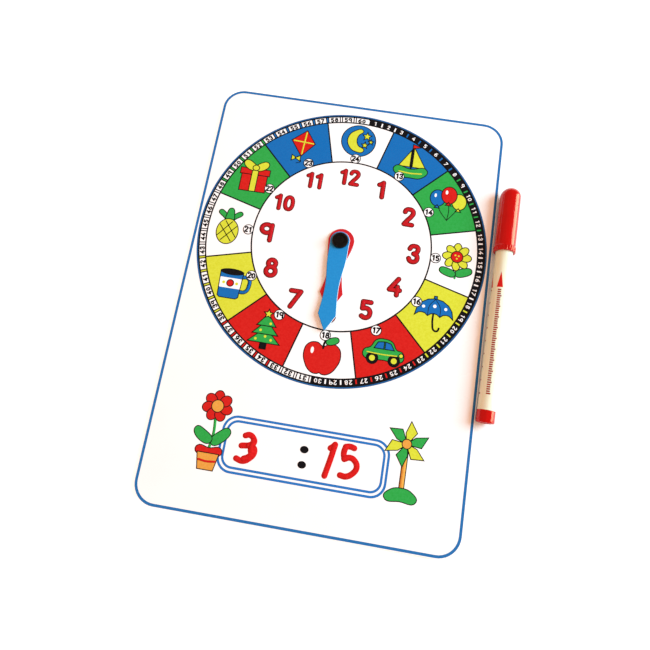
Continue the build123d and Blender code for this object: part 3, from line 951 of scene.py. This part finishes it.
def makeRivetHead(size):
    top, head, crown, lip = size["headTop"], size["headRadius"], size["crown"], size["lip"]
    bore, groove = size["bore"], size["groove"]
    profile = [
        (0, size["boreTop"]), (bore, size["boreTop"]), (bore, size["grooveHigh"]),
        (groove, size["grooveHigh"]), (groove, size["grooveLow"]),
        (bore, size["grooveLow"] - size["lead"]), (bore, size["low"]),
        (size["barrel"], size["low"]), (size["barrel"], size["headLow"]), (head, size["headLow"]),
        *arcPoints(head - crown, top - crown, crown, 0, 90, roundSteps["edge"]),
        *arcPoints(size["recessRadius"] + lip, top - lip, lip, 90, 180, roundSteps["lip"]),
        (size["recessRadius"], top - size["recessDepth"]), (0, top - size["recessDepth"]),
    ]
    turnedPiece("rivet_head", turned(profile, size["sides"]), "rivetBlack",
                Matrix.Translation((*pivot, 0)), "board", "pivot_cap")


plug = {
    "radius": 5.05, "length": 7.1, "rounding": 0.8, "ease": 0.12,
    "recessRadius": 3.5, "recessDepth": 1.1, "lip": 0.2,
    "spigot": 3.85, "inner": 13.9, "core": 2.5, "coreEnd": 3.0, "sides": 64,
}


def makePlug(size):
    radius, rounding, lip, ease = size["radius"], size["rounding"], size["lip"], size["ease"]
    core, spigot, length = size["core"], size["spigot"], size["length"]
    profile = [
        (0, size["coreEnd"]), (core, size["coreEnd"]), (core, size["inner"]), (spigot, size["inner"]),
        (spigot, length), (radius - ease, length), (radius, length - ease),
        *arcPoints(radius - rounding, rounding, rounding, 0, -90, roundSteps["edge"]),
        *arcPoints(size["recessRadius"] + lip, lip, lip, -90, -180, roundSteps["lip"]),
        (size["recessRadius"], size["recessDepth"]), (0, size["recessDepth"]),
    ]
    turnedPiece("pen_plug", turned(profile, size["sides"]), "penRed", penPlace, "pen",
                "pen_end_plug")


nib = {"tail": 101.5, "radius": 2.0, "taper": 125.6, "end": 129.0, "tip": 1.0, "tipFrom": 25, "sides": 32}


def makeNib(size):
    radius, end, tip = size["radius"], size["end"], size["tip"]
    point = arcPoints(0, end - tip, tip, size["tipFrom"], 90, roundSteps["tip"])
    profile = [(0, size["tail"]), (radius, size["tail"]), (radius, size["taper"]), *point[:-1], (0, end)]
    turnedPiece("pen_nib_fibre", turned(profile, size["sides"]), "nibFibre", penPlace, "pen",
                "pen_nib")


cap = {
    "mouth": 100.1, "end": 141.4, "radius": 6.0, "rim": 6.35, "rimLength": 3.0,
    "ease": [(0.3, 0), (0.08, 0.08), (0, 0.3)],     # in from the rim and up from the mouth
    "shoulder": [(0.02, 0.5), (0, 0.8)],            # out from the cap and up from the rim
    "lead": (0.3, 0.6), "bore": 5.0, "boreEnd": 108.6,
    "land": 4.18, "landStart": 109.4, "landEnd": 115.4, "chamber": 4.5, "chamberEnd": 138.8,
    "flutes": 24, "fluteDepth": 0.3, "fluteTop": 2.5, "fluteBelow": 0.1,
}


def makeCap(size):
    mouth, rim, bore, land = size["mouth"], size["rim"], size["bore"], size["land"]
    radius, end, chamber = size["radius"], size["end"], size["chamber"]
    rimTop, fluteTop = mouth + size["rimLength"], mouth + size["fluteTop"]
    leadOut, leadUp = size["lead"]
    profile = [
        (0, size["chamberEnd"]), (chamber, size["chamberEnd"]), (chamber, size["landEnd"]),
        (land, size["landEnd"]), (land, size["landStart"]), (bore, size["boreEnd"]),
        (bore, mouth + leadUp), (bore + leadOut, mouth),
        *[(rim - inwards, mouth + up) for inwards, up in size["ease"]],
        (rim, fluteTop), (rim, rimTop),
        *[(radius + out, rimTop + up) for out, up in size["shoulder"]],
        *arcPoints(0, end - radius, radius, 0, 90, roundSteps["dome"])[:-1], (0, end),
    ]
    columns = 4 * size["flutes"]
    shape = turned(profile, columns)
    for corner in shape.verts:       # every fourth column of the rim is pressed in as a flute
        radius = hypot(corner.co.x, corner.co.y)
        column = round(atan2(corner.co.y, corner.co.x) / (2 * pi) * columns)
        onRim = radius > rim - size["fluteBelow"] and corner.co.z < fluteTop + mergeDistance
        if onRim and column % 4 == 0:
            corner.co.xy *= (rim - size["fluteDepth"]) / radius
    bmesh.ops.recalc_face_normals(shape, faces=shape.faces)
    turnedPiece("pen_cap_shell", shape, "penRed", penPlace, "pen_cap", "pen_cap")


makeRivetHead(rivet)
makePlug(plug)
makeNib(nib)
makeCap(cap)
print("turned pieces ready")


# Marks on the barrel, laid round it in two rows: an arrow that points to the cap, and plain ticks

penMarks = {
    "rows": [(-19, 1), (-93, 6)],   # degrees round the pen from its top, and every how many ticks show
    "arrow": [(-1.75, 77.5), (1.75, 77.5), (0, 87.0)],
    "tickFrom": 15.6,
    "tickTo": 76.4,
    "tickStep": 1.25,
    "tick": (1.9, 0.8),             # across and along the pen
    "longTick": (2.4, 0.8),
    "longEvery": 5,
    "cuts": 3,                      # so that a mark bends with the barrel
    "rise": 0.02,
}


def makePenMarks(look):
    sheet = newSheet()
    ticks = []
    for number in range(int((look["tickTo"] - look["tickFrom"]) / look["tickStep"]) + 1):
        across, along = look["longTick" if number % look["longEvery"] == 0 else "tick"]
        start = look["tickFrom"] + number * look["tickStep"]
        left = -look["tick"][0] / 2
        ticks.append(([(left, start), (left + across, start), (left + across, start + along),
                       (left, start + along)], "inkPenPrint"))
    for row, gap in look["rows"]:
        for points, ink in [(look["arrow"], "inkRed"), *ticks[::gap]]:
            shape = outline(points, False)
            bmesh.ops.triangulate(shape, faces=shape.faces)
            bmesh.ops.subdivide_edges(shape, edges=shape.edges, cuts=look["cuts"], use_grid_fill=True)
            thicken(shape, -look["rise"])
            for corner in shape.verts:    # across becomes an angle round the pen
                across, along, rise = corner.co
                turn = across / barrel["radius"] + radians(row)
                radius = barrel["radius"] + look["rise"] + rise
                corner.co = (radius * sin(turn), radius * cos(turn), along)
            bmesh.ops.recalc_face_normals(shape, faces=shape.faces)
            joinTo(sheet, shape, ink, penPlace)
    finishPiece("pen_marks", sheet, "pen")


makePenMarks(penMarks)
print("pen marks printed")


# CAD nodes that stay: their finish, with their facets shaded as the curves they are

nodeFinishes = {
    "board_core": "hardboard", "face_sheet": "faceLaminate", "back_sheet": "backLaminate",
    "pivot_pin": "rivetBlack", "base_washer": "washerNylon", "middle_washer": "washerNylon",
    "hour_hand": "handWhite", "minute_hand": "handWhite",
    "pen_barrel": "penWhite", "pen_reservoir": "inkFibre",
}
splitAngle = 28
for node, finish in nodeFinishes.items():
    piece = frame["nodes"][node]
    piece.data.materials.clear()
    piece.data.materials.append(materials[finish])
    piece.data.shade_smooth()
    weld = piece.modifiers.new("weld", "WELD")
    weld.merge_threshold = mergeDistance * mm
    split = piece.modifiers.new("split", "EDGE_SPLIT")
    split.split_angle = radians(splitAngle)
print("CAD nodes finished:", len(nodeFinishes))


# The reflector shines on the pen only, so that the print keeps its colours from every side

shinyPieces = ["pen_cap_shell", "pen_plug", "pen_barrel"]


def aimReflector(names):
    shiny = bpy.data.collections.new("shiny")
    for name in names:
        shiny.objects.link(bpy.data.objects[name])
    scene.objects["reflector"].light_linking.receiver_collection = shiny


aimReflector(shinyPieces)


# Floor: a painted glow, emission that washes out the board's cast shadow on the floor beside the clock
# and brightens the floor right of the pen, which shows as a painted reflection in the cap; it is weaker
# under the board and beside the pen

floorReach = 3.0
floorDrop = 0.00005
floorGlow = {           # along each axis, a place and the strength of the painted glow there
    "X": [(-0.11, 0.7), (0.0, 0.35), (0.095, 0.06), (0.101, 0.06), (0.115, 0.3), (0.3, 0.3)],
    "Y": [(-0.45, 0.6), (-0.132, 0.45), (-0.126, 0.0), (0.17, 0.0), (0.45, 0.5)],
}


# sums the painted glow of both axes into the floor's emission strength
def lightFloor(glow):
    tree = materials["floorPaleGlowing"].node_tree
    axes = tree.nodes.new("ShaderNodeSeparateXYZ")
    tree.links.new(tree.nodes["Texture Coordinate"].outputs["Object"], axes.inputs["Vector"])
    total = None
    for axis, stops in glow.items():
        for number, ((start, low), (end, high)) in enumerate(zip(stops, stops[1:])):
            base = 0 if number else low        # the first ramp of an axis carries its whole level
            part = rangeNode(tree, axes.outputs[axis], start, end, base, base + high - low)
            if total:
                both = tree.nodes.new("ShaderNodeMath")
                tree.links.new(total, both.inputs[0])
                tree.links.new(part, both.inputs[1])
                part = both.outputs["Value"]
            total = part
    tree.links.new(total, tree.nodes["Principled BSDF"].inputs["Emission Strength"])


def makeFloor():
    shape = bmesh.new()
    bmesh.ops.create_grid(shape, x_segments=1, y_segments=1, size=floorReach)
    bmesh.ops.translate(shape, verts=shape.verts, vec=(0, 0, -floorDrop))
    mesh = bpy.data.meshes.new("floor")
    shape.to_mesh(mesh)
    shape.free()
    mesh.materials.append(materials["floorPaleGlowing"])
    floor = bpy.data.objects.new("floor", mesh)
    scene.collection.objects.link(floor)


lightFloor(floorGlow)
makeFloor()
print("floor ready")
